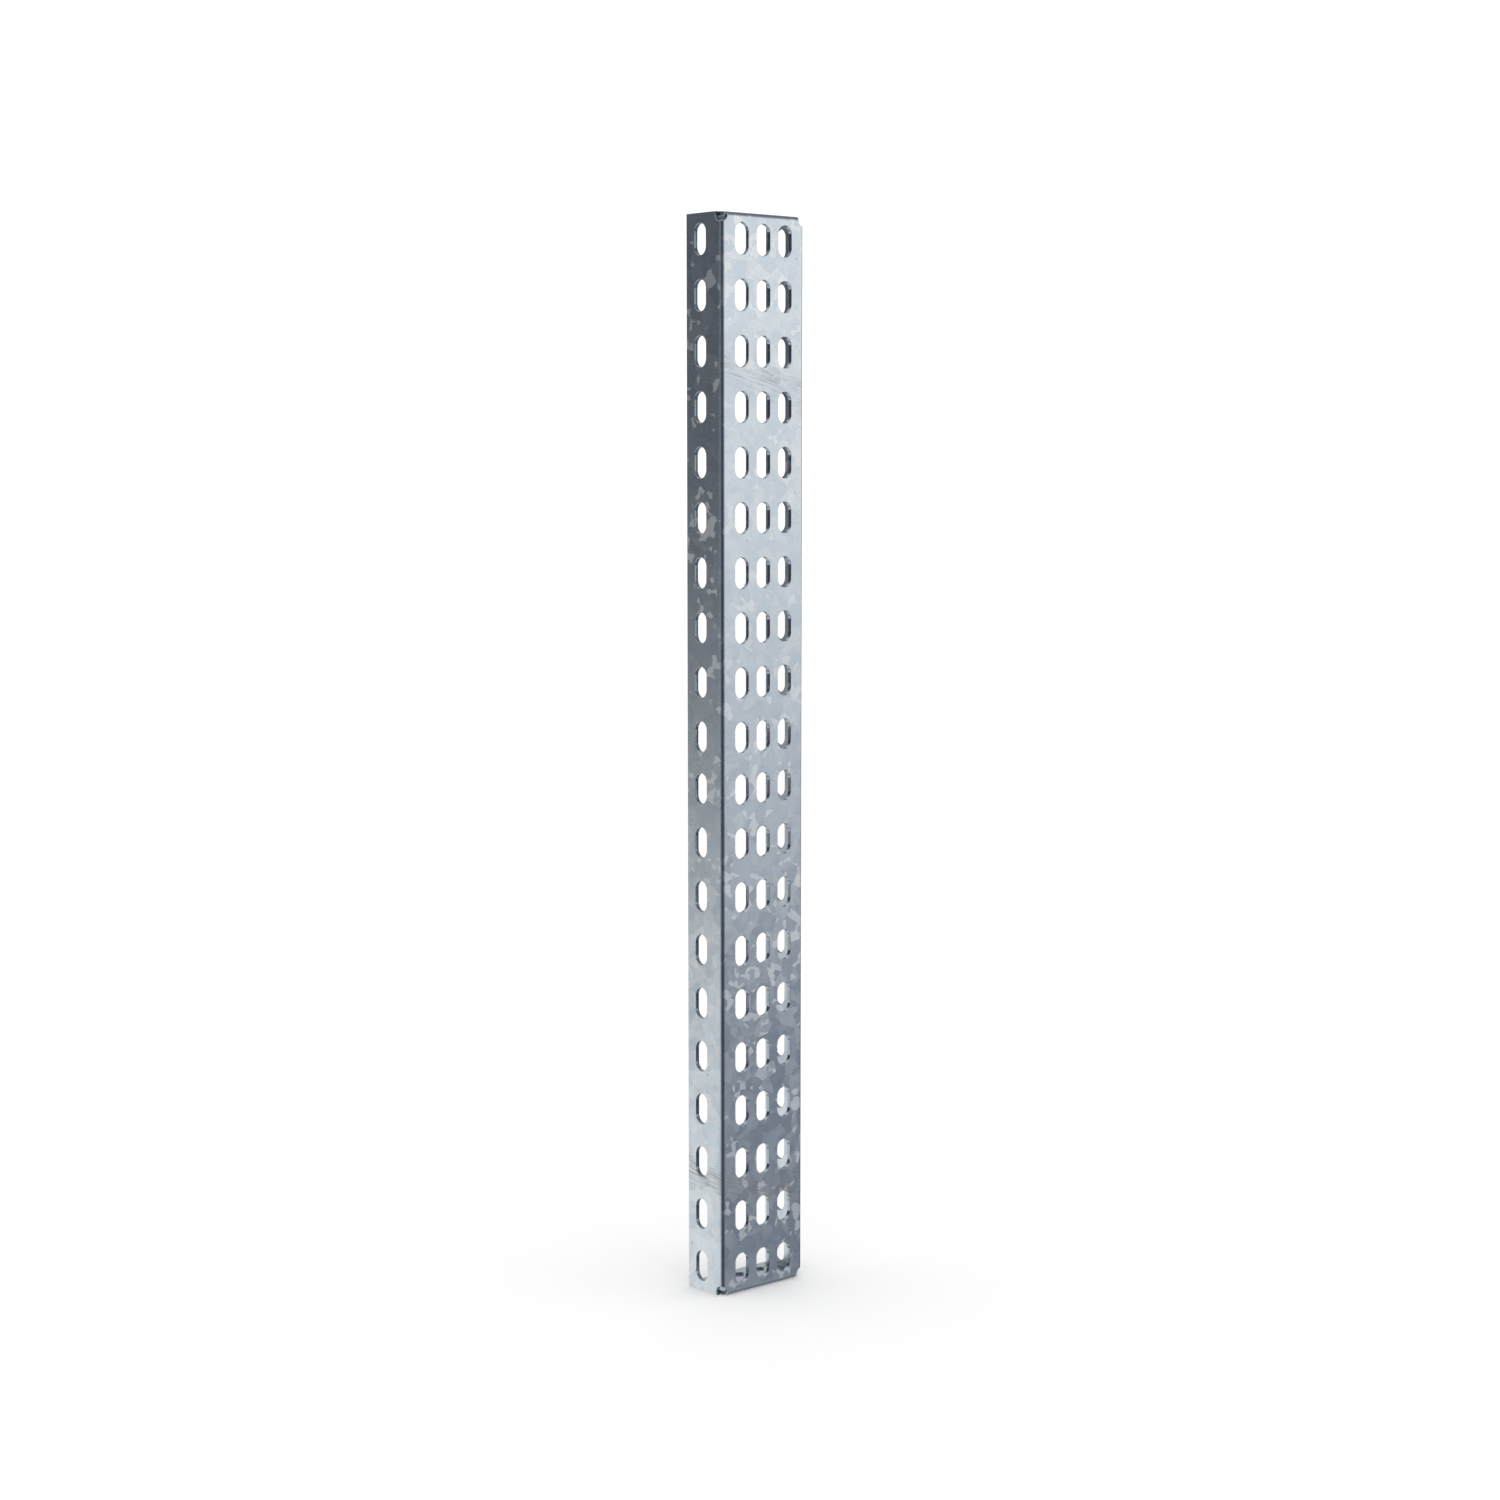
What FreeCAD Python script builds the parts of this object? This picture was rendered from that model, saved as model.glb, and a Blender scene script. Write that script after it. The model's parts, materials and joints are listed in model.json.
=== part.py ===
import FreeCAD, Part
import math
import os

# Slotted mounting channel: one blank of galvanised sheet, punched and then folded
# backwards on all four sides into a shallow tray that stands on its short end.
#
# Frame, in millimetres: origin under the middle of the bottom end, +Z up along the
# channel, +X across the web, and the web's outer face towards -Y. The back is open.

# Folded sheet
LENGTH = 995.0                 # over the two end flanges
WIDTH = 100.0                  # over the two side flanges
DEPTH = 49.0                   # from the web's outer face to the flanges' free edges
SHEET = 4.0
INNER_BEND_RADIUS = 1.0

# Slots in the web and in both side flanges
SLOT_WIDTH = 16.0
SLOT_LENGTH = 28.5             # end to end, with full round ends
ROW_PITCH = 50.0
END_TO_FIRST_ROW = 23.5        # from each end of the channel to its first row's middle
LEAST_BRIDGE = 10.0            # sheet left between the two middle rows
COLUMN_PITCH = 26.0            # between the web's columns
SIDE_SLOT_FROM_EDGE = 19.0     # from a side flange's free edge to its slots' middles
WEB_COLUMNS = (-1, 0, 1)

# Round holes in the end flanges, in line with the web's columns
END_HOLE_DIAMETER = 16.0
END_HOLE_FROM_EDGE = 16.5      # from an end flange's free edge to its holes' middles

# Corner reliefs: a round hole punched in the flat blank where two bends would cross
RELIEF_RADIUS = 5.5
RELIEF_OVER_SIDE_BEND = 3.5    # from the web's flat to the hole's middle, round the side bend
RELIEF_OVER_END_BEND = 1.5     # from the web's flat to the hole's middle, round the end bend
END_FLANGE_CLEARANCE = 0.5     # between an end flange's edge and the side flange beside it

OVERCUT = 1.0                  # how far each cutting shape runs past the sheet

OUTER_BEND_RADIUS = INNER_BEND_RADIUS + SHEET
BEND_ARC = math.pi / 2 * (INNER_BEND_RADIUS + SHEET / 2)
HALF_WIDTH = WIDTH / 2
FRONT = -DEPTH / 2
BACK = DEPTH / 2
ACROSS = FreeCAD.Vector(1, 0, 0)
BACKWARDS = FreeCAD.Vector(0, 1, 0)
UPWARDS = FreeCAD.Vector(0, 0, 1)


def row_heights():
    """Rows counted from each end towards the middle, as far as the length has room."""
    room = LENGTH / 2 - END_TO_FIRST_ROW - (SLOT_LENGTH + LEAST_BRIDGE) / 2
    rows = 1 + int(room // ROW_PITCH)
    lower = [END_TO_FIRST_ROW + row * ROW_PITCH for row in range(rows)]
    return lower + [LENGTH - height for height in reversed(lower)]


def column_places():
    return [column * COLUMN_PITCH for column in WEB_COLUMNS]


def rounded_front(low, high, front, back, radius, place):
    """Face of a rectangle whose two front corners are round; place maps it to 3-D."""
    bulge = radius * (1 - math.sqrt(0.5))
    low_arc = Part.Arc(
        place(low, front + radius),
        place(low + bulge, front + bulge),
        place(low + radius, front),
    )
    high_arc = Part.Arc(
        place(high - radius, front),
        place(high - bulge, front + bulge),
        place(high, front + radius),
    )
    edges = [
        low_arc.toShape(),
        Part.makeLine(place(low + radius, front), place(high - radius, front)),
        high_arc.toShape(),
        Part.makeLine(place(high, front + radius), place(high, back)),
        Part.makeLine(place(high, back), place(low, back)),
        Part.makeLine(place(low, back), place(low, front + radius)),
    ]
    return Part.Face(Part.Wire(edges))


def rounded_block(inset, back, radius):
    """Block inset from the outer faces, with round edges all round its front."""
    side = HALF_WIDTH - inset
    bottom = inset
    top = LENGTH - inset
    front = FRONT + inset

    def across_place(x, y):
        return FreeCAD.Vector(x, y, bottom)

    def along_place(z, y):
        return FreeCAD.Vector(-side, y, z)

    across = rounded_front(-side, side, front, back, radius, across_place)
    along = rounded_front(bottom, top, front, back, radius, along_place)
    upright = across.extrude(UPWARDS * (top - bottom))
    crosswise = along.extrude(ACROSS * (2 * side))
    return upright.common(crosswise)


def upright_slot(middle, normal, thickness):
    """Cutter for one slot with its length upright, centred on middle, along normal."""
    sideways = normal.cross(UPWARDS)
    half_run = (SLOT_LENGTH - SLOT_WIDTH) / 2
    radius = SLOT_WIDTH / 2
    start = middle - normal * (thickness / 2)

    def at(side, height):
        return start + sideways * side + UPWARDS * height

    top_arc = Part.Arc(at(-radius, half_run), at(0, half_run + radius), at(radius, half_run))
    bottom_arc = Part.Arc(at(radius, -half_run), at(0, -half_run - radius), at(-radius, -half_run))
    edges = [
        top_arc.toShape(),
        Part.makeLine(at(radius, half_run), at(radius, -half_run)),
        bottom_arc.toShape(),
        Part.makeLine(at(-radius, -half_run), at(-radius, half_run)),
    ]
    return Part.Face(Part.Wire(edges)).extrude(normal * thickness)


def web_slots():
    thickness = SHEET + 2 * OVERCUT
    depth = FRONT + SHEET / 2
    return [
        upright_slot(FreeCAD.Vector(across, depth, height), BACKWARDS, thickness)
        for across in column_places()
        for height in row_heights()
    ]


def side_flange_slots():
    """Each cutter runs through both side flanges at once."""
    thickness = WIDTH + 2 * OVERCUT
    depth = BACK - SIDE_SLOT_FROM_EDGE
    return [
        upright_slot(FreeCAD.Vector(0, depth, height), ACROSS, thickness)
        for height in row_heights()
    ]


def end_flange_holes():
    """Each cutter runs through both end flanges at once."""
    depth = BACK - END_HOLE_FROM_EDGE
    return [
        Part.makeCylinder(
            END_HOLE_DIAMETER / 2,
            LENGTH + 2 * OVERCUT,
            FreeCAD.Vector(across, depth, -OVERCUT),
            UPWARDS,
        )
        for across in column_places()
    ]


def corner_reliefs():
    """The punched hole as it lies after folding: on the web, the side and the end flange."""
    reach = SHEET + OVERCUT
    from_side = OUTER_BEND_RADIUS - RELIEF_OVER_SIDE_BEND
    from_end = OUTER_BEND_RADIUS - RELIEF_OVER_END_BEND
    side_depth = FRONT + OUTER_BEND_RADIUS - (BEND_ARC - RELIEF_OVER_SIDE_BEND)
    end_depth = FRONT + OUTER_BEND_RADIUS - (BEND_ARC - RELIEF_OVER_END_BEND)
    cutters = []
    for side in (-1, 1):
        across = side * (HALF_WIDTH - from_side)
        outside = side * (HALF_WIDTH + OVERCUT)
        for end, inwards in ((0.0, 1), (LENGTH, -1)):
            height = end + inwards * from_end
            beyond = end - inwards * OVERCUT
            cutters += [
                Part.makeCylinder(
                    RELIEF_RADIUS,
                    OUTER_BEND_RADIUS + OVERCUT,
                    FreeCAD.Vector(across, FRONT - OVERCUT, height),
                    BACKWARDS,
                ),
                Part.makeCylinder(
                    RELIEF_RADIUS,
                    reach,
                    FreeCAD.Vector(outside, side_depth, height),
                    ACROSS * -side,
                ),
                Part.makeCylinder(
                    RELIEF_RADIUS,
                    reach,
                    FreeCAD.Vector(across, end_depth, beyond),
                    UPWARDS * inwards,
                ),
            ]
    return cutters


def end_flange_gaps():
    """Thin slabs that part each end flange's two edges from the side flanges."""
    height = OUTER_BEND_RADIUS + OVERCUT
    slabs = []
    for side in (-1, 1):
        inner_face = side * (HALF_WIDTH - SHEET)
        low = min(inner_face, inner_face - side * END_FLANGE_CLEARANCE)
        for bottom in (-OVERCUT, LENGTH - OUTER_BEND_RADIUS):
            corner = FreeCAD.Vector(low, FRONT + OUTER_BEND_RADIUS, bottom)
            slabs.append(Part.makeBox(END_FLANGE_CLEARANCE, DEPTH, height, corner))
    return slabs


def slotted_channel():
    tray = rounded_block(0.0, BACK, OUTER_BEND_RADIUS)
    hollow = rounded_block(SHEET, BACK + OVERCUT, INNER_BEND_RADIUS)
    folded = tray.cut(hollow)
    cutters = web_slots() + side_flange_slots() + end_flange_holes()
    cutters += corner_reliefs() + end_flange_gaps()
    return folded.cut(cutters).removeSplitter()


PIECES = {
    "slotted_channel": slotted_channel,
}

os.makedirs("parts", exist_ok=True)
for name, make_piece in PIECES.items():
    piece = make_piece()
    solids = piece.Solids
    if len(solids) == 1:
        piece = solids[0]
    piece.exportStep(f"parts/{name}.step")
    print(name, "solids", len(solids), "valid", piece.isValid(), "volume", round(piece.Volume, 1))
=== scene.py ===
import json
import math

import bmesh
import bpy
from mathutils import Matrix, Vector


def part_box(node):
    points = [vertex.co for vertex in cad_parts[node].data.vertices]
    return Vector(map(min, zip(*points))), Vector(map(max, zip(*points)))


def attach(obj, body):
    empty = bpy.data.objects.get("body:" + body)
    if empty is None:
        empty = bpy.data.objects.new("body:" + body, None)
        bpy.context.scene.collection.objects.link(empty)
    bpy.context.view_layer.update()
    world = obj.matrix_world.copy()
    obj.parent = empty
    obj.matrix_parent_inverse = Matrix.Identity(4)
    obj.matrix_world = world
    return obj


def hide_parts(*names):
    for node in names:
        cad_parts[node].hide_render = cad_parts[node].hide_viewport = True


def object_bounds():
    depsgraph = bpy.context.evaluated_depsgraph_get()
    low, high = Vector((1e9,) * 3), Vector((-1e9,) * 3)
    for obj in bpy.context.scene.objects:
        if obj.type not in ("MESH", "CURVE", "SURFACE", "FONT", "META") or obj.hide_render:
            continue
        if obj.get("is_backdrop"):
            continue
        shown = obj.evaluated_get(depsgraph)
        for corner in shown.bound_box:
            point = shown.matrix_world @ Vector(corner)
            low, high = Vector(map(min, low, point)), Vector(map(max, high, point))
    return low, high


# A slotted channel of galvanised sheet, standing on its short end on a pale studio floor.
# Everything is in metres in the frame's own axes: +Z up along the channel, -Y out of the
# slotted web's face, the open back towards +Y.

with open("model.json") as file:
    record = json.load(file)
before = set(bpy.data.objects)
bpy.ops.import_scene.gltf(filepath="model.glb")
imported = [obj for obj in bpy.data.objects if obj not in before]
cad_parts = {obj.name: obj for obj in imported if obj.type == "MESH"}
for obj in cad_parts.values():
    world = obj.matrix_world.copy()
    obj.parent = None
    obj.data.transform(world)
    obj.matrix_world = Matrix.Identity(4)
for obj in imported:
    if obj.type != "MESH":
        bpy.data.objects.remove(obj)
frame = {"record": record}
cad_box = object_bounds()

NODE = "slotted_channel"
MM = 0.001

# The sheet, as the CAD holds it
SHEET = 4.0 * MM
INNER_BEND_RADIUS = 1.0 * MM
OUTER_BEND_RADIUS = INNER_BEND_RADIUS + SHEET
BEND_ARC = math.pi / 2 * (INNER_BEND_RADIUS + SHEET / 2)
END_FLANGE_CLEARANCE = 0.5 * MM
RELIEF_RADIUS = 5.5 * MM
RELIEF_OVER_SIDE_BEND = 3.5 * MM      # from the web's flat to the relief's middle
RELIEF_OVER_END_BEND = 1.5 * MM

# How finely the round stretches are divided
BEND_STEPS = 10
QUARTER_STEPS = 12
RELIEF_STEP = math.radians(8)
EDGE_ROUNDING = 0.5 * MM
EDGE_ROUNDING_STEPS = 2
SHARP_ANGLE = math.radians(40)
LARGE_FACES_LEAD = 100                # normals follow the largest faces as far as they can
SAME_POINT = 0.01 * MM
# The punched walls' material darkens them with painted shade
PUNCHED_SHADED_MATERIAL = 1                  # its place among the sheet's materials

box_low, box_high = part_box(NODE)
HALF_WIDTH = (box_high[0] - box_low[0]) / 2
FRONT = box_low[1]
DEPTH = box_high[1] - box_low[1]
LENGTH = box_high[2]
WEB_FLAT = HALF_WIDTH - OUTER_BEND_RADIUS
FLANGE_FLAT = DEPTH - OUTER_BEND_RADIUS


def mount(name):
    return next(m for m in frame["record"]["mounts"] if m["name"] == name)


def slot_rows():
    """Heights of the slots' middles, from the mounts that give the pitch and the middle gap."""
    low = mount("web_middle_bottom_slots")
    middle = mount("web_middle_middle_slots")
    pitch = low["dims"]["spacing_y_mm"] * MM
    first = low["pos_m"][2] - pitch / 2
    last = middle["pos_m"][2] - middle["dims"]["spacing_y_mm"] * MM / 2
    lower = [first + row * pitch for row in range(round((last - first) / pitch) + 1)]
    return lower + [LENGTH - height for height in reversed(lower)]


ROWS = slot_rows()
ROW_BOUNDS = [(low + high) / 2 for low, high in zip(ROWS, ROWS[1:])]
COLUMNS = [
    mount(f"web_{column}_bottom_slots")["pos_m"][0]
    for column in ("left", "middle", "right")
]
COLUMN_BOUNDS = [(low + high) / 2 for low, high in zip(COLUMNS, COLUMNS[1:])]
SLOT_DIMS = mount("web_middle_bottom_slots")["dims"]
SLOT_RADIUS = SLOT_DIMS["hole_r_mm"] * MM
SLOT_HALF_RUN = SLOT_DIMS["slot_length_mm"] * MM / 2 - SLOT_RADIUS
SIDE_SLOT_DEPTH = mount("left_side_bottom_slots")["pos_m"][1] - FRONT
END_HOLE_DEPTH = mount("bottom_end_left_holes")["pos_m"][1] - FRONT
END_HOLE_RADIUS = mount("bottom_end_left_holes")["dims"]["hole_r_mm"] * MM


# --- Folding: each function turns a place on the flat blank into a place in space ---------
# "out" runs along the sheet away from the web's flat, and depth runs through the sheet from
# its outer face.

def fold(out, depth):
    """Distance sideways and backwards from the bend's centre line, for a sheet folded back."""
    if out <= BEND_ARC:
        turn = out / BEND_ARC * math.pi / 2
        radius = OUTER_BEND_RADIUS - depth
        return radius * math.sin(turn), -radius * math.cos(turn)
    return OUTER_BEND_RADIUS - depth, out - BEND_ARC


def web_place(across, height, depth):
    return Vector((across, FRONT + depth, height))


def side_place(side):
    def place(out, height, depth):
        sideways, backwards = fold(out, depth)
        across = side * (WEB_FLAT + sideways)
        return Vector((across, FRONT + OUTER_BEND_RADIUS + backwards, height))
    return place


def end_place(end):
    """end is -1 for the bottom and 1 for the top."""
    def place(across, out, depth):
        beyond, backwards = fold(out, depth)
        height = beyond - OUTER_BEND_RADIUS
        top = LENGTH + height if end > 0 else -height
        return Vector((across, FRONT + OUTER_BEND_RADIUS + backwards, top))
    return place


# --- The corner reliefs: one punched circle over each pair of bends ------------------------
# A point of it is (out over the side bend, distance from the channel's end on the blank).

RELIEF_FROM_END = OUTER_BEND_RADIUS - RELIEF_OVER_END_BEND


def relief_point(turn):
    out = RELIEF_OVER_SIDE_BEND + RELIEF_RADIUS * math.cos(turn)
    from_end = RELIEF_FROM_END + RELIEF_RADIUS * math.sin(turn)
    return out, from_end


def relief_run(start, stop):
    steps = math.ceil(abs(stop - start) / RELIEF_STEP)
    return [relief_point(start + (stop - start) * step / steps) for step in range(steps + 1)]


def relief_turn_at_end_distance(from_end, inwards):
    """Where the circle crosses a line across the blank, on the web's side if inwards."""
    turn = math.asin((from_end - RELIEF_FROM_END) / RELIEF_RADIUS)
    return math.pi - turn if inwards else turn


def relief_turn_at_out(out, upper):
    """Where the circle crosses a line along the blank, away from the end if upper."""
    turn = math.acos((out - RELIEF_OVER_SIDE_BEND) / RELIEF_RADIUS)
    return turn if upper else 2 * math.pi - turn


def relief_from_end(out):
    """How far from the channel's end the side bend starts, at a place round the bend."""
    return relief_point(relief_turn_at_out(out, True))[1]


def relief_out(from_end):
    """How far over the side bend the end bend would reach, at a place round the end bend."""
    return relief_point(relief_turn_at_end_distance(from_end, True))[0]


# --- Building the sheet ---------------------------------------------------------------------

class Sheet:
    """The outer face as flat outlines, each vertex keeping its partner on the inner face."""

    def __init__(self):
        self.mesh = bmesh.new()
        self.inner = self.mesh.verts.layers.float_vector.new("inner")

    def add(self, place, outline):
        verts = []
        for first, second in outline:
            vert = self.mesh.verts.new(place(first, second, 0.0))
            vert[self.inner] = place(first, second, SHEET)
            verts.append(vert)
        self.mesh.faces.new(verts)

    def thicken(self):
        """Joins the outlines, adds the inner face, and closes every free edge with a wall."""
        mesh = self.mesh
        bmesh.ops.remove_doubles(mesh, verts=mesh.verts[:], dist=SAME_POINT)
        rims = [edge for edge in mesh.edges if len(edge.link_faces) == 1]
        outer_faces = mesh.faces[:]
        partner = {}
        for vert in mesh.verts[:]:
            partner[vert] = mesh.verts.new(vert[self.inner])
        for face in outer_faces:
            mesh.faces.new([partner[vert] for vert in reversed(face.verts)])
        for edge in rims:
            start, stop = edge.verts
            wall = mesh.faces.new([start, stop, partner[stop], partner[start]])
            wall.material_index = PUNCHED_SHADED_MATERIAL
        bmesh.ops.recalc_face_normals(mesh, faces=mesh.faces[:])

    def to_object(self, name):
        data = bpy.data.meshes.new(name)
        self.mesh.to_mesh(data)
        self.mesh.free()
        data.attributes.remove(data.attributes["inner"])
        piece = bpy.data.objects.new(name, data)
        bpy.context.collection.objects.link(piece)
        return piece


def half_opening(middle, half_run, radius, side):
    """Half the outline of a slot, or of a round hole, from its low end to its high end."""
    across, along = middle
    quarter = math.pi / 2 / QUARTER_STEPS
    low = []
    for step in range(QUARTER_STEPS + 1):
        turn = step * quarter
        point_across = across + side * radius * math.sin(turn)
        point_along = along - half_run - radius * math.cos(turn)
        low.append((point_across, point_along))
    high = [(point[0], 2 * along - point[1]) for point in reversed(low)]
    return low + (high if half_run > 0 else high[1:])


def add_cell(sheet, place, middle, acrosses, alongs, half_run, radius, cuts):
    """A rectangle round one opening, in two halves. cuts replaces a corner by a relief's run."""
    along_low, along_high = alongs
    for side, edge in ((-1, acrosses[0]), (1, acrosses[1])):
        low_corner = cuts.get((side, -1), [(edge, along_low)])
        high_corner = cuts.get((side, 1), [(edge, along_high)])
        outline = [(middle[0], along_low)] + low_corner + high_corner + [(middle[0], along_high)]
        outline += reversed(half_opening(middle, half_run, radius, side))
        sheet.add(place, outline)


def add_web(sheet):
    turns = (
        relief_turn_at_end_distance(OUTER_BEND_RADIUS, True),
        relief_turn_at_out(0.0, True),
    )
    run = relief_run(*turns)
    column_edges = [-WEB_FLAT] + COLUMN_BOUNDS + [WEB_FLAT]
    row_edges = [OUTER_BEND_RADIUS] + ROW_BOUNDS + [LENGTH - OUTER_BEND_RADIUS]
    for column, across in enumerate(COLUMNS):
        for row, height in enumerate(ROWS):
            cuts = {}
            for side, at_side in ((-1, column == 0), (1, column == len(COLUMNS) - 1)):
                if at_side and row == 0:
                    cuts[side, -1] = [(side * (WEB_FLAT + out), up) for out, up in run]
                if at_side and row == len(ROWS) - 1:
                    cuts[side, 1] = [
                        (side * (WEB_FLAT + out), LENGTH - up) for out, up in reversed(run)
                    ]
            add_cell(
                sheet, web_place, (across, height),
                column_edges[column:column + 2], row_edges[row:row + 2],
                SLOT_HALF_RUN, SLOT_RADIUS, cuts,
            )


def add_strips(sheet, place, lines):
    """Quads between neighbouring lines of points round a bend."""
    for near, far in zip(lines, lines[1:]):
        for step in range(len(near) - 1):
            sheet.add(place, [near[step], far[step], far[step + 1], near[step + 1]])


def add_side(sheet, side):
    place = side_place(side)
    lines = []
    for step in range(BEND_STEPS + 1):
        out = BEND_ARC * step / BEND_STEPS
        start = relief_from_end(out)
        lines.append([(out, height) for height in [start] + ROW_BOUNDS + [LENGTH - start]])
    add_strips(sheet, place, lines)

    run = relief_run(relief_turn_at_end_distance(0.0, False), relief_turn_at_out(BEND_ARC, True))
    middle = BEND_ARC + SIDE_SLOT_DEPTH - OUTER_BEND_RADIUS
    row_edges = [0.0] + ROW_BOUNDS + [LENGTH]
    for row, height in enumerate(ROWS):
        cuts = {}
        if row == 0:
            cuts[-1, -1] = run
        if row == len(ROWS) - 1:
            cuts[-1, 1] = [(out, LENGTH - up) for out, up in reversed(run)]
        add_cell(
            sheet, place, (middle, height),
            (BEND_ARC, BEND_ARC + FLANGE_FLAT), row_edges[row:row + 2],
            SLOT_HALF_RUN, SLOT_RADIUS, cuts,
        )


def add_end(sheet, end):
    place = end_place(end)
    lines = []
    bend_points = sorted(COLUMNS + COLUMN_BOUNDS)
    for step in range(BEND_STEPS + 1):
        out = BEND_ARC * step / BEND_STEPS
        reach = WEB_FLAT + relief_out(OUTER_BEND_RADIUS - out)
        lines.append([(across, out) for across in [-reach] + bend_points + [reach]])
    add_strips(sheet, place, lines)

    side_edge = HALF_WIDTH - SHEET - END_FLANGE_CLEARANCE
    turns = (
        relief_turn_at_end_distance(OUTER_BEND_RADIUS - BEND_ARC, True),
        relief_turn_at_out(side_edge - WEB_FLAT, False),
    )
    run = relief_run(*turns)
    depth = BEND_ARC + END_HOLE_DEPTH - OUTER_BEND_RADIUS
    column_edges = [-side_edge] + COLUMN_BOUNDS + [side_edge]
    for column, across in enumerate(COLUMNS):
        cuts = {}
        for side, at_side in ((-1, column == 0), (1, column == len(COLUMNS) - 1)):
            if at_side:
                cuts[side, -1] = [
                    (side * (WEB_FLAT + out), OUTER_BEND_RADIUS - up) for out, up in run
                ]
        add_cell(
            sheet, place, (across, depth),
            column_edges[column:column + 2], (BEND_ARC, BEND_ARC + FLANGE_FLAT),
            0.0, END_HOLE_RADIUS, cuts,
        )


def smooth_edges(piece):
    """Rounds the punched edges as a zinc coat does, and keeps the flats flat."""
    for polygon in piece.data.polygons:
        polygon.use_smooth = True
    rounding = piece.modifiers.new("edge_rounding", "BEVEL")
    rounding.width = EDGE_ROUNDING
    rounding.segments = EDGE_ROUNDING_STEPS
    rounding.limit_method = "ANGLE"
    rounding.angle_limit = SHARP_ANGLE
    flats = piece.modifiers.new("flat_faces", "WEIGHTED_NORMAL")
    flats.weight = LARGE_FACES_LEAD


def make_channel():
    sheet = Sheet()
    add_web(sheet)
    for side in (-1, 1):
        add_side(sheet, side)
        add_end(sheet, side)
    sheet.thicken()
    channel = sheet.to_object("channel_sheet")
    smooth_edges(channel)
    return channel


# --- Material -------------------------------------------------------------------------------

class Nodes:
    """A short way to add nodes and link them."""

    def __init__(self, tree):
        self.tree = tree
        self.tree.nodes.clear()

    def put(self, socket, value):
        """Links the value to the socket if it comes from a node, or else sets it there."""
        if isinstance(value, bpy.types.NodeSocket):
            self.tree.links.new(value, socket)
        else:
            socket.default_value = value

    def add(self, kind, inputs=None, **settings):
        node = self.tree.nodes.new(kind)
        for key, value in settings.items():
            setattr(node, key, value)
        for key, value in (inputs or {}).items():
            self.put(node.inputs[key], value)
        return node

    def maths(self, operation, first, second, third=0.0):
        inputs = {0: first, 1: second, 2: third}
        return self.add("ShaderNodeMath", inputs, operation=operation).outputs[0]

    def vector(self, operation, first, second):
        inputs = {0: first, 1: second}
        return self.add("ShaderNodeVectorMath", inputs, operation=operation).outputs[0]

    def dot(self, first, second):
        inputs = {0: first, 1: second}
        node = self.add("ShaderNodeVectorMath", inputs, operation="DOT_PRODUCT")
        return node.outputs["Value"]

    def scaled(self, vector, amount):
        inputs = {0: vector, "Scale": amount}
        return self.add("ShaderNodeVectorMath", inputs, operation="SCALE").outputs[0]

    def mix(self, amount, first, second):
        """The first colour where amount is 0, the second where it is 1."""
        inputs = {0: amount, 6: first, 7: second}
        return self.add("ShaderNodeMix", inputs, data_type="RGBA").outputs[2]

    def spread(self, value, span, to_low=0.0, to_high=1.0):
        """Smoothly from to_low at the span's start to to_high at its end."""
        inputs = {0: value, 1: span[0], 2: span[1], 3: to_low, 4: to_high}
        return self.add("ShaderNodeMapRange", inputs, interpolation_type="SMOOTHSTEP").outputs[0]

    def noise(self, place, scale, detail):
        inputs = {"Vector": place, "Scale": scale, "Detail": detail}
        return self.add("ShaderNodeTexNoise", inputs)

    def cells(self, place, scale):
        inputs = {"Vector": place, "Scale": scale}
        return self.add("ShaderNodeTexVoronoi", inputs).outputs["Color"]

    def bump(self, height, distance, strength, normal):
        inputs = {"Height": height, "Distance": distance, "Strength": strength, "Normal": normal}
        return self.add("ShaderNodeBump", inputs).outputs[0]


# A texture of scale 100 has features about 10 mm across

# Crystals of the zinc coat
LARGE_CRYSTALS = 72.0
SMALL_CRYSTALS = 135.0
SMALL_SHARE = 0.4
CRYSTAL_WARP = 120.0
CRYSTAL_WARP_REACH = 3.0 * MM
CRYSTAL_TILT = 0.028                  # added to a normal of length 1, at most half of it each way
MIDDLE_GREY = (0.5, 0.5, 0.5)

# Pale matt flakes: crystals picked at random, more of them where the drift is high
FLAKE_DRIFT = 16.0
FLAKE_DRIFT_SHARE = 0.7
FLAKE_THRESHOLD = 1.12
FLAKE_COVER = 0.85
FLAKE_ROUGHNESS = 0.12

# Clouds, grain, ripples and dark specks
CLOUDS = 26.0
CLOUD_SPAN = (0.45, 0.75)
CLOUD_COVER = 0.2
GRAIN = 800.0
GRAIN_SPAN = (0.40, 0.75)
GRAIN_COVER = 0.20
GRAIN_DEPTH = 0.04 * MM
GRAIN_STRENGTH = 0.35
RIPPLES = 40.0
RIPPLE_DEPTH = 0.4 * MM
RIPPLE_STRENGTH = 0.3
SPECKS = 330.0
SPECK_SPAN = (0.74, 0.78)
SPECK_COVER = 0.7

# Reflectance of the zinc and of what lies on it, and the painted shade for the punched edges and
# the bends
COOL_ZINC = (0.585, 0.640, 0.685, 1.0)
WARM_ZINC = (0.660, 0.700, 0.725, 1.0)
WARM_SPAN = (0.25, 0.75)
PALE_FLAKE = (0.870, 0.888, 0.890, 1.0)
CLOUD_GREY = (0.50, 0.56, 0.62, 1.0)
GRAIN_GREY = (0.42, 0.47, 0.53, 1.0)
SPECK_GREY = (0.16, 0.18, 0.21, 1.0)
STAIN_BROWN = (0.30, 0.21, 0.17, 1.0)
# Painted shade: dark grey mixed into the punched edges, standing in for the dark reflections
# inside the slot walls
PAINTED_EDGE_SHADE_GREY = (0.20, 0.24, 0.29, 1.0)
PAINTED_EDGE_SHADE_COVER = 0.6
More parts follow.
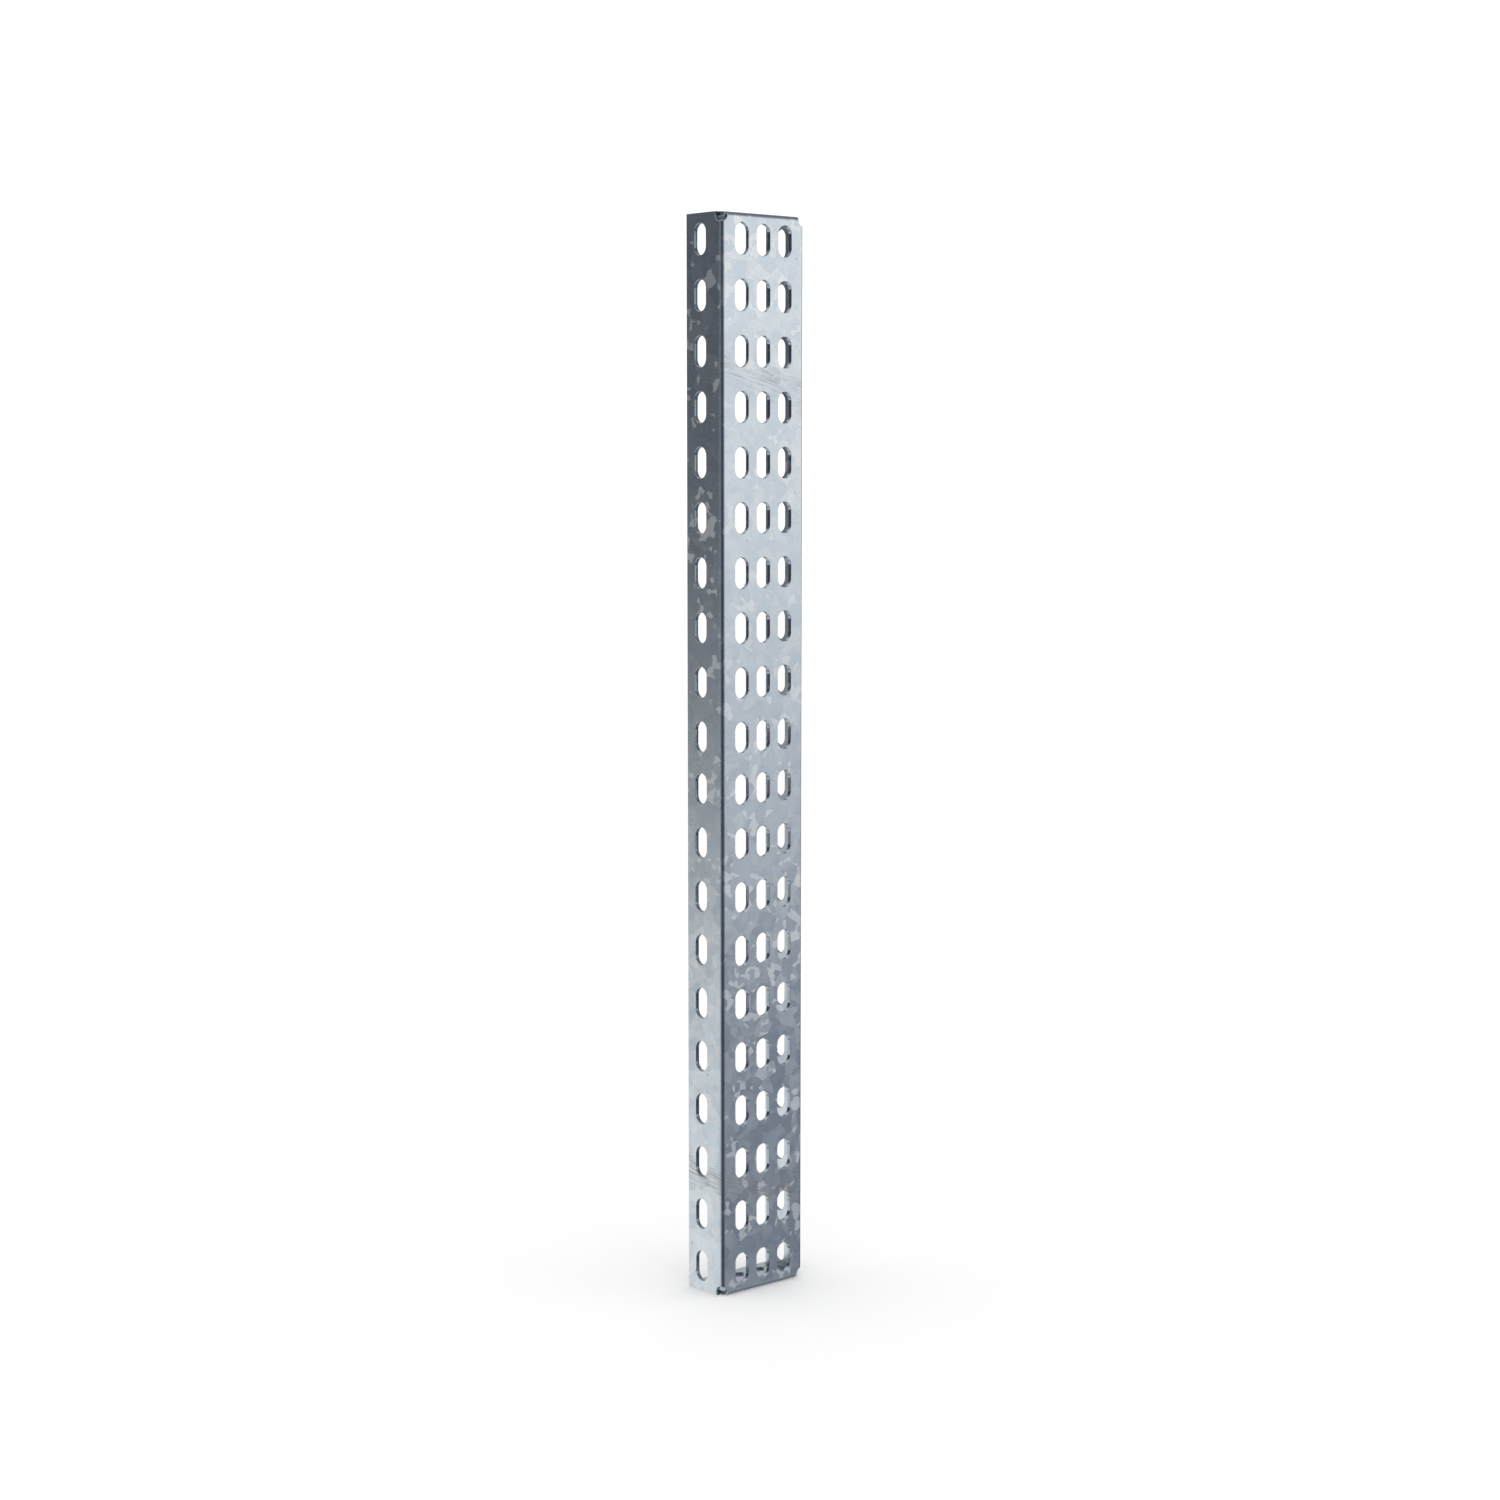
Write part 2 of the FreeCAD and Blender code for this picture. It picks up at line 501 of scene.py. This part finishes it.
# Painted shade: a dark band along the middle of the bends' outer faces, standing in for the dark
# reflection there
PAINTED_BEND_SHADE_GREY = (0.20, 0.235, 0.29, 1.0)
PAINTED_BEND_SHADE_COVER = 0.85

# Roughness: the smoothest crystals, how much rougher the others are, and what dirt adds
ROLLED_ROUGHNESS = 0.26
PUNCHED_ROUGHNESS = 0.13
CRYSTAL_ROUGHNESS = 0.05
CRYSTAL_ROUGHNESS_SPAN = (0.2, 0.8)
DIRT_ROUGHNESS = 0.2

# How far round a bend the painted shade starts, and where it is darkest, past the flat each side
PAINTED_BEND_SHADE_START = 1.2 * MM
PAINTED_BEND_SHADE_FULL = 3.4 * MM

# Run marks lie where a slanting surface stood when the channel was lifted out of the bath: a
# point's level is its height with the slant's share of the other two axes added
MARK_SLANT = (0.29, -0.155, 1.0)
MARK_BANDS = (
    # level of the middle, half width, strength
    (0.096, 0.021, 0.80),
    (0.850, 0.030, 0.45),
)
MARKS_ALONG = 50.0
MARKS_THROUGH = 900.0
MARK_SPAN = (0.42, 0.74)


def crystals(nodes, place):
    """A random colour for each crystal: flat cells, each broken into smaller ones."""
    bend = nodes.noise(place, CRYSTAL_WARP, 1.0).outputs["Color"]
    warp = nodes.scaled(nodes.vector("SUBTRACT", bend, MIDDLE_GREY), CRYSTAL_WARP_REACH)
    warped = nodes.vector("ADD", place, warp)
    return nodes.mix(
        SMALL_SHARE,
        nodes.cells(warped, LARGE_CRYSTALS),
        nodes.cells(warped, SMALL_CRYSTALS),
    )


def flakes(nodes, place, pick):
    """1 on the pale flakes, else 0. pick is a random number for each crystal."""
    drift = nodes.noise(place, FLAKE_DRIFT, 1.0).outputs[0]
    chance = nodes.maths("MULTIPLY_ADD", drift, FLAKE_DRIFT_SHARE, pick)
    return nodes.maths("GREATER_THAN", chance, FLAKE_THRESHOLD)


def painted_bend_shade(nodes, place):
    """1 along the middle of each bend's outer face, where shade is painted as a dark band, else
    0.
    """
    axes = nodes.add("ShaderNodeSeparateXYZ", {0: place})
    across = nodes.maths("ABSOLUTE", axes.outputs["X"], 0.0)
    from_middle = nodes.maths("SUBTRACT", axes.outputs["Z"], LENGTH / 2)
    along = nodes.maths("ABSOLUTE", from_middle, 0.0)
    backwards = nodes.maths("SUBTRACT", FRONT + OUTER_BEND_RADIUS, axes.outputs["Y"])

    def past(value, flat):
        return nodes.spread(value, (flat + PAINTED_BEND_SHADE_START, flat + PAINTED_BEND_SHADE_FULL))

    beside = past(across, WEB_FLAT)
    beyond = past(along, LENGTH / 2 - OUTER_BEND_RADIUS)
    either = nodes.maths("MAXIMUM", beside, beyond)
    return nodes.maths("MULTIPLY", either, past(backwards, 0.0))


def marks(nodes, place):
    """Thin slanting streaks within the bands, as a number from 0 to 1."""
    level = nodes.dot(place, MARK_SLANT)
    along = nodes.vector("MULTIPLY", place, (MARKS_ALONG, MARKS_ALONG, 0.0))
    height = nodes.maths("MULTIPLY", level, MARKS_THROUGH)
    through = nodes.add("ShaderNodeCombineXYZ", {"Z": height}).outputs[0]
    stretched = nodes.vector("ADD", along, through)
    streak = nodes.noise(stretched, 1.0, 3.0).outputs[0]
    streaks_and_bend_shade = nodes.spread(streak, MARK_SPAN)
    bands = []
    for middle, half_width, strength in MARK_BANDS:
        distance = nodes.maths("ABSOLUTE", nodes.maths("SUBTRACT", level, middle), 0.0)
        bands.append(nodes.spread(distance, (0.0, half_width), strength, 0.0))
    return nodes.maths("MULTIPLY", streaks_and_bend_shade, nodes.maths("ADD", *bands))


def zinc_material(name, punched):
    """Zinc on the rolled faces or, smoother and darkened with painted shade, on the punched
    edges.
    """
    material = bpy.data.materials.new(name)
    material.use_nodes = True
    nodes = Nodes(material.node_tree)
    place = nodes.add("ShaderNodeTexCoord").outputs["Object"]
    crystal = crystals(nodes, place)
    shade = nodes.add("ShaderNodeSeparateColor", {"Color": crystal})
    flake = flakes(nodes, place, shade.outputs[0])
    grain = nodes.noise(place, GRAIN, 2.0).outputs[0]
    speck = nodes.noise(place, SPECKS, 1.0).outputs[0]
    specks = nodes.spread(speck, SPECK_SPAN, 0.0, SPECK_COVER)
    stains = marks(nodes, place)

    # Colour: blue-grey zinc that differs a little from crystal to crystal, and what lies on it,
    # then painted shade on the punched edges or along the bends
    zinc = nodes.mix(nodes.spread(shade.outputs[1], WARM_SPAN), COOL_ZINC, WARM_ZINC)
    zinc = nodes.mix(nodes.maths("MULTIPLY", flake, FLAKE_COVER), zinc, PALE_FLAKE)
    cloud = nodes.noise(place, CLOUDS, 4.0).outputs[0]
    zinc = nodes.mix(nodes.spread(cloud, CLOUD_SPAN, 0.0, CLOUD_COVER), zinc, CLOUD_GREY)
    zinc = nodes.mix(nodes.spread(grain, GRAIN_SPAN, 0.0, GRAIN_COVER), zinc, GRAIN_GREY)
    zinc = nodes.mix(specks, zinc, SPECK_GREY)
    zinc = nodes.mix(stains, zinc, STAIN_BROWN)
    # The punched edges are darkened with painted shade for the dark reflections inside the slot
    # walls
    if punched:
        zinc = nodes.mix(PAINTED_EDGE_SHADE_COVER, zinc, PAINTED_EDGE_SHADE_GREY)
    else:
        # Elsewhere a dark band of painted shade runs along the bends' outer faces
        streaks_and_bend_shade = nodes.maths("MULTIPLY", painted_bend_shade(nodes, place), PAINTED_BEND_SHADE_COVER)
        zinc = nodes.mix(streaks_and_bend_shade, zinc, PAINTED_BEND_SHADE_GREY)

    # Each crystal lies at its own slight tilt, and the coat has slow ripples and fine grain
    tilt = nodes.scaled(nodes.vector("SUBTRACT", crystal, MIDDLE_GREY), CRYSTAL_TILT)
    normal = nodes.add("ShaderNodeNewGeometry").outputs["Normal"]
    tilted = nodes.vector("NORMALIZE", nodes.vector("ADD", normal, tilt), (0.0, 0.0, 0.0))
    ripple = nodes.noise(place, RIPPLES, 2.0).outputs[0]
    rippled = nodes.bump(ripple, RIPPLE_DEPTH, RIPPLE_STRENGTH, tilted)
    grained = nodes.bump(grain, GRAIN_DEPTH, GRAIN_STRENGTH, rippled)

    smoothest = PUNCHED_ROUGHNESS if punched else ROLLED_ROUGHNESS
    roughest = smoothest + CRYSTAL_ROUGHNESS
    rough = nodes.spread(shade.outputs[2], CRYSTAL_ROUGHNESS_SPAN, smoothest, roughest)
    rough = nodes.maths("ADD", rough, nodes.maths("MULTIPLY", flake, FLAKE_ROUGHNESS))
    dirt = nodes.maths("ADD", specks, stains)
    rough = nodes.maths("ADD", rough, nodes.maths("MULTIPLY", dirt, DIRT_ROUGHNESS))
    shader = nodes.add(
        "ShaderNodeBsdfPrincipled",
        {"Base Color": zinc, "Metallic": 1.0, "Roughness": rough, "Normal": grained},
    )
    nodes.add("ShaderNodeOutputMaterial", {"Surface": shader.outputs[0]})
    return material


# --- Studio ---------------------------------------------------------------------------------

FLOOR_SIZE = 60.0
FLOOR_WHITE = (0.93, 0.93, 0.93, 1.0)
WHITE = (1.0, 1.0, 1.0, 1.0)
WHITE_STRENGTH = 1.12

# The room in the reflections, by compass: what lies where the web, the left flange, the rounded
# bend between them and the right-hand bend mirror it
TOWARDS_FRONT_RIGHT = (0.66, -0.75, 0.0)
TOWARDS_BACK_LEFT = (-0.66, 0.75, 0.0)
TOWARDS_FRONT_LEFT = (-0.66, -0.75, 0.0)
TOWARDS_BACK_RIGHT = (0.80, 0.60, 0.0)

# How far a direction has to point towards one of them, as the dot product of the two
ONE_SIDE = (0.45, 0.80)
ONE_CORNER = (0.68, 0.95)
WIDE_SIDE = (-0.30, 0.25)

ROOM_BRIGHT = (1.08, 1.105, 1.12, 1.0)
ROOM_GREY = (0.58, 0.60, 0.63, 1.0)
ROOM_DIM = (0.30, 0.32, 0.36, 1.0)
FLOOR_GLOW = (0.42, 0.44, 0.47, 1.0)
FRONT_DARK = (0.060, 0.092, 0.168, 1.0)
BACK_DARK = (0.078, 0.088, 0.110, 1.0)
CORNER_DARK = (0.125, 0.145, 0.180, 1.0)

# How steep a direction is where the room changes, from -1 straight down to 1 straight up
FRONT_BRIGHTENS = (-0.235, -0.050)
FLOOR_GLOW_FADES = (-0.38, -0.27)
BACK_DARKENS = (-0.215, -0.095)
RIGHT_BRIGHTENS = (0.08, 0.20)
ROOM_BRIGHTENS = (-0.50, 0.20)
STEEP_DIMS = (0.36, 0.52)
STEEP_DIM_COVER = 0.85
STEEPEST_BRIGHTENS = (0.54, 0.70)


def make_floor():
    bpy.ops.mesh.primitive_plane_add(size=FLOOR_SIZE, location=(0.0, 0.0, 0.0))
    floor = bpy.context.object
    floor.name = "studio_floor"
    material = bpy.data.materials.new("pale_floor")
    material.use_nodes = True
    shader = material.node_tree.nodes["Principled BSDF"]
    shader.inputs["Base Color"].default_value = FLOOR_WHITE
    shader.inputs["Roughness"].default_value = 1.0
    shader.inputs["Specular IOR Level"].default_value = 0.0
    floor.data.materials.append(material)
    floor.visible_glossy = False
    floor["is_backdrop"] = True


def make_world():
    """White behind everything, with a soft room in the reflections: bright above and dark below
    towards the front right, the other way round towards the back left, dark between them."""
    world = bpy.data.worlds.new("studio")
    bpy.context.scene.world = world
    world.use_nodes = True
    nodes = Nodes(world.node_tree)
    direction = nodes.add("ShaderNodeTexCoord").outputs["Generated"]
    height = nodes.add("ShaderNodeSeparateXYZ", {0: direction}).outputs["Z"]
    steepness = nodes.maths("ABSOLUTE", height, 0.0)

    def near(compass, span):
        return nodes.spread(nodes.dot(direction, compass), span)

    def above(span):
        return nodes.spread(height, span)

    # The floor's glow lifts the dark a little again at the very bottom of the front
    front = nodes.mix(above(FRONT_BRIGHTENS), FRONT_DARK, ROOM_BRIGHT)
    front = nodes.mix(above(FLOOR_GLOW_FADES), FLOOR_GLOW, front)
    back = nodes.mix(above(BACK_DARKENS), ROOM_BRIGHT, BACK_DARK)
    right = nodes.mix(above(RIGHT_BRIGHTENS), CORNER_DARK, ROOM_GREY)
    room = nodes.mix(above(ROOM_BRIGHTENS), ROOM_DIM, ROOM_GREY)
    room = nodes.mix(near(TOWARDS_FRONT_RIGHT, ONE_SIDE), room, front)
    room = nodes.mix(near(TOWARDS_BACK_LEFT, ONE_SIDE), room, back)
    room = nodes.mix(near(TOWARDS_FRONT_LEFT, ONE_CORNER), room, CORNER_DARK)
    room = nodes.mix(near(TOWARDS_BACK_RIGHT, ONE_CORNER), room, right)

    # Steep directions are dim, and the steepest ones are bright again over the back left
    steep = nodes.spread(steepness, STEEP_DIMS, 0.0, STEEP_DIM_COVER)
    room = nodes.mix(steep, room, ROOM_DIM)
    steepest = nodes.spread(steepness, STEEPEST_BRIGHTENS)
    over_back = nodes.maths("MULTIPLY", steepest, near(TOWARDS_BACK_LEFT, WIDE_SIDE))
    room = nodes.mix(over_back, room, ROOM_BRIGHT)

    path = nodes.add("ShaderNodeLightPath")
    seen = nodes.add("ShaderNodeBackground", {"Color": WHITE, "Strength": WHITE_STRENGTH})
    mirrored = nodes.add("ShaderNodeBackground", {"Color": room, "Strength": 1.0})
    both = nodes.add(
        "ShaderNodeMixShader",
        {0: path.outputs["Is Glossy Ray"], 1: seen.outputs[0], 2: mirrored.outputs[0]},
    )
    nodes.add("ShaderNodeOutputWorld", {"Surface": both.outputs[0]})


# The camera stands off the web's left corner, a little above the channel's middle
CAMERA_PLACE = (-1.6295, -1.8711, 0.7723)
CAMERA_HEADING = math.radians(41.14)      # from +Y towards +X
CAMERA_PITCH = math.radians(6.12)
CAMERA_LENS = 64.5


def make_camera():
    data = bpy.data.cameras.new("camera")
    data.lens = CAMERA_LENS
    camera = bpy.data.objects.new("camera", data)
    camera.location = CAMERA_PLACE
    camera.rotation_euler = (math.pi / 2 - CAMERA_PITCH, 0.0, -CAMERA_HEADING)
    bpy.context.collection.objects.link(camera)
    bpy.context.scene.camera = camera


channel = make_channel()
channel.data.materials.append(zinc_material("galvanised_zinc_with_painted_bend_shade", punched=False))
channel.data.materials.append(zinc_material("punched_edge_zinc_with_painted_shade", punched=True))
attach(channel, "root")
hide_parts(NODE)

make_floor()
make_world()
make_camera()
bpy.context.scene.view_settings.view_transform = "Standard"

visual_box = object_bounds()
boxes = {
    name: [[float(v) for v in corner] for corner in box]
    for name, box in (("cad", cad_box), ("visual", visual_box))
}
